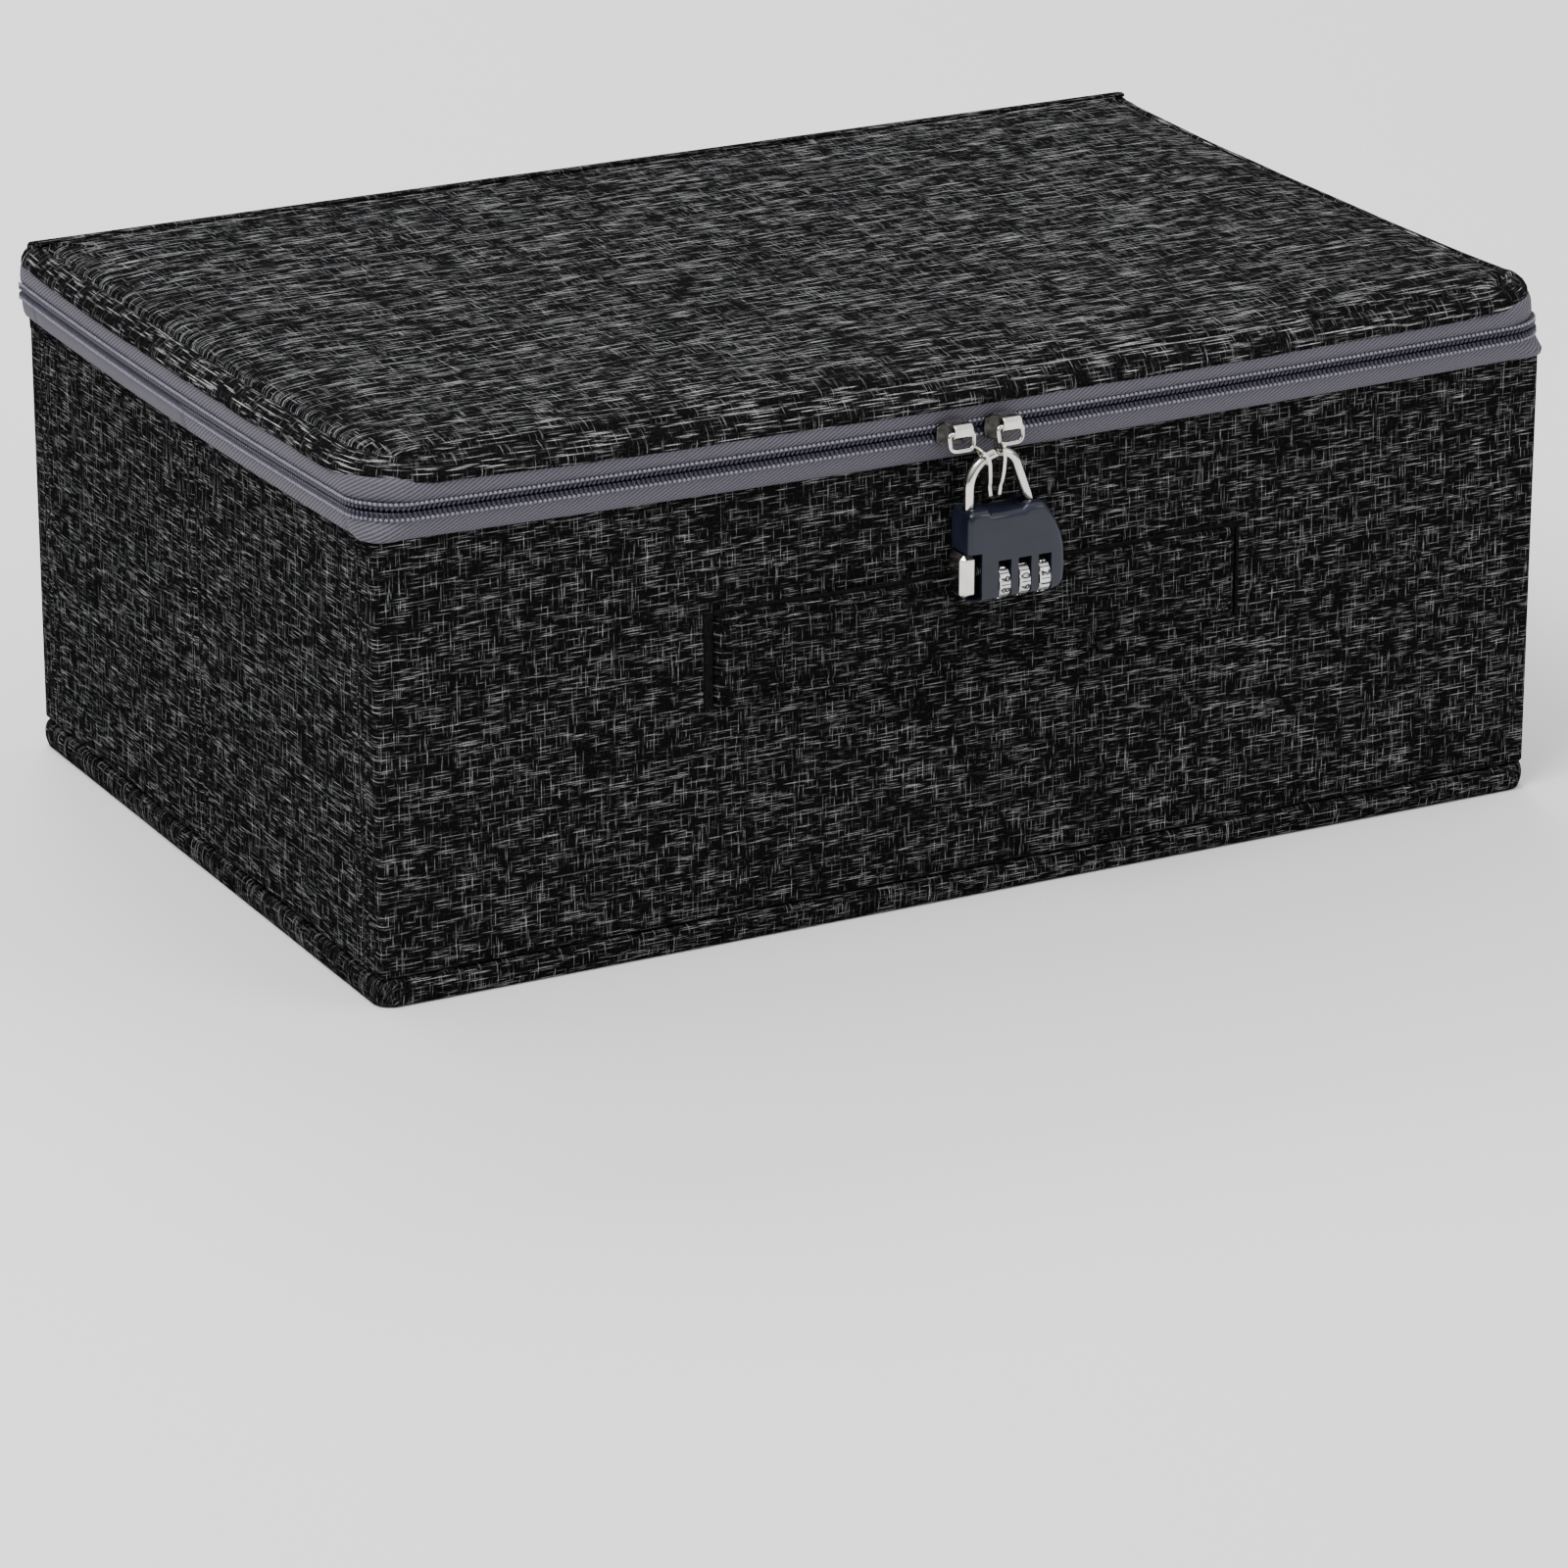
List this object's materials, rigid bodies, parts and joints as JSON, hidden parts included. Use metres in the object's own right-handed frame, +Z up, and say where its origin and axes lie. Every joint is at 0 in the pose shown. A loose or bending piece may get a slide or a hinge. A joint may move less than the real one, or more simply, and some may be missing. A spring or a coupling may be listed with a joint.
{
  "type": "collapsible fabric document box",
  "caption": "Collapsible rectangular fabric document box with a zip-around hinged lid, folding side walls and a small hanging combination padlock.",
  "frame": {"origin": "centre of the underside, where the box rests", "axes": "+X along the front from left to right, -Y out of the front, +Z up"},
  "size_m": [0.4068, 0.2794, 0.169],
  "materials": {
    "cover_fabric": "heather charcoal linen weave",
    "stiff_board": "grey fibreboard",
    "lining_cloth": "matt silver-grey coated glass cloth",
    "felt_pad": "insulating felt",
    "zip_tape": "grey-purple twill tape",
    "zip_coil": "dark nylon coil with stitches",
    "strap_fabric": "self fabric, edge stitched",
    "polished_nickel": "polished nickel",
    "lock_paint": "dark navy semi-gloss paint",
    "dial_metal": "bright metal with dark numerals",
    "plain_steel": "plain"
  },
  "bodies": {
    "base": {"base_cover": "cover_fabric", "base_board": "stiff_board", "base_pad": "felt_pad", "base_lining": "lining_cloth", "back_cover": "cover_fabric", "back_lining": "lining_cloth", "back_board": "stiff_board", "back_lower_tape": "zip_tape", "back_lower_coil": "zip_coil", "hinge_strip": "cover_fabric"},
    "left_rear": {"left_rear_cover": "cover_fabric", "left_rear_board": "stiff_board", "left_rear_lining": "lining_cloth", "left_rear_lower_tape": "zip_tape", "left_rear_lower_coil": "zip_coil"},
    "left_front": {"left_front_cover": "cover_fabric", "left_front_board": "stiff_board", "left_front_lining": "lining_cloth", "left_front_lower_tape": "zip_tape", "left_front_lower_coil": "zip_coil"},
    "right_rear": {"right_rear_cover": "cover_fabric", "right_rear_board": "stiff_board", "right_rear_lining": "lining_cloth", "right_rear_lower_tape": "zip_tape", "right_rear_lower_coil": "zip_coil"},
    "right_front": {"right_front_cover": "cover_fabric", "right_front_board": "stiff_board", "right_front_lining": "lining_cloth", "right_front_lower_tape": "zip_tape", "right_front_lower_coil": "zip_coil"},
    "front": {"front_cover": "cover_fabric", "front_lining": "lining_cloth", "front_board": "stiff_board", "front_lower_tape": "zip_tape", "front_lower_coil": "zip_coil", "handle_strap": "strap_fabric", "handle_patches": "strap_fabric"},
    "lid": {"lid_cover": "cover_fabric", "lid_pad": "felt_pad", "lid_board": "stiff_board", "lid_lining": "lining_cloth", "upper_tape": "zip_tape", "upper_coil": "zip_coil"},
    "slider_left": {"slider_left": "polished_nickel"},
    "slider_right": {"slider_right": "polished_nickel"},
    "pull_left": {"pull_left": "polished_nickel"},
    "pull_right": {"pull_right": "polished_nickel"},
    "shackle": {"shackle": "polished_nickel"},
    "lock_button": {"lock_button": "polished_nickel"},
    "dial_1": {"dial_1": "dial_metal"},
    "dial_2": {"dial_2": "dial_metal"},
    "dial_3": {"dial_3": "dial_metal"},
    "lock_case": {"lock_case_front": "lock_paint", "lock_case_back": "lock_paint", "dial_spindle": "plain_steel", "button_spring": "plain_steel", "lock_latch": "plain_steel", "shackle_pin": "plain_steel"}
  },
  "joints": [
    {"name": "lid_hinge", "type": "hinge", "parent": "base", "child": "lid", "pos_m": [0, 0.1324, 0.1693], "axis": [-1, 0, 0], "range_deg": [0, 200]},
    {"name": "wall_fold", "type": "hinge", "parent": "base", "child": "left_rear", "pos_m": [-0.1958, 0.118, 0.08], "axis": [0, 0, -1], "range_deg": [-86, 0]},
    {"name": "left_crease", "type": "hinge", "parent": "left_rear", "child": "left_front", "pos_m": [-0.2035, 0, 0.08], "axis": [0, 0, -1], "range_deg": [0, 172]},
    {"name": "front_corner", "type": "hinge", "parent": "left_front", "child": "front", "pos_m": [-0.1958, -0.118, 0.08], "axis": [0, 0, -1], "range_deg": [-86, 0]},
    {"name": "right_rear_corner", "type": "hinge", "parent": "base", "child": "right_rear", "pos_m": [0.1958, 0.118, 0.08], "axis": [0, 0, 1], "range_deg": [-86, 0]},
    {"name": "right_crease", "type": "hinge", "parent": "right_rear", "child": "right_front", "pos_m": [0.2035, 0, 0.08], "axis": [0, 0, 1], "range_deg": [0, 172]},
    {"name": "slider_travel", "type": "slide", "parent": "lid", "child": "slider_left", "axis": [1, 0, 0], "range_m": [-0.15, 0.15]},
    {"name": "slider_right_travel", "type": "slide", "parent": "lid", "child": "slider_right", "axis": [1, 0, 0], "range_m": [-0.15, 0.15]},
    {"name": "pull_swing", "type": "hinge", "parent": "slider_left", "child": "pull_left", "pos_m": [-0.0126, -0.1405, 0.15145], "axis": [-1, 0, 0], "range_deg": [0, 70]},
    {"name": "pull_right_swing", "type": "hinge", "parent": "slider_right", "child": "pull_right", "pos_m": [0.005, -0.1405, 0.15145], "axis": [-1, 0, 0], "range_deg": [0, 70]},
    {"name": "lock_swing", "type": "hinge", "parent": "pull_left", "child": "shackle", "pos_m": [-0.002, -0.1405, 0.14535], "axis": [-1, 0, 0], "range_deg": [0, 60]},
    {"name": "shackle_release", "type": "hinge", "parent": "shackle", "child": "lock_case", "pos_m": [0.011, -0.1405, 0.12735], "axis": [0, -1, 0], "range_deg": [0, 30]},
    {"name": "button_press", "type": "slide", "parent": "lock_case", "child": "lock_button", "axis": [1, 0, 0], "range_m": [0, 0.0024], "stiffness_N_per_m": 400, "springref_m": -0.001, "deforming": ["button_spring"]},
    {"name": "dial_1_spin", "type": "hinge", "parent": "lock_case", "child": "dial_1", "pos_m": [-0.0006, -0.1415, 0.10515], "axis": [1, 0, 0], "continuous": true},
    {"name": "dial_2_spin", "type": "hinge", "parent": "lock_case", "child": "dial_2", "pos_m": [0.0063, -0.1415, 0.10515], "axis": [1, 0, 0], "continuous": true},
    {"name": "dial_3_spin", "type": "hinge", "parent": "lock_case", "child": "dial_3", "pos_m": [0.0132, -0.1415, 0.10515], "axis": [1, 0, 0], "continuous": true}
  ],
  "couplings": [
    {"joint": "left_crease", "follows": "wall_fold", "ratio": -2},
    {"joint": "front_corner", "follows": "wall_fold", "ratio": 1},
    {"joint": "right_rear_corner", "follows": "wall_fold", "ratio": 1},
    {"joint": "right_crease", "follows": "wall_fold", "ratio": -2},
    {"joint": "slider_right_travel", "follows": "slider_travel", "ratio": 1},
    {"joint": "pull_right_swing", "follows": "pull_swing", "ratio": 1}
  ]
}
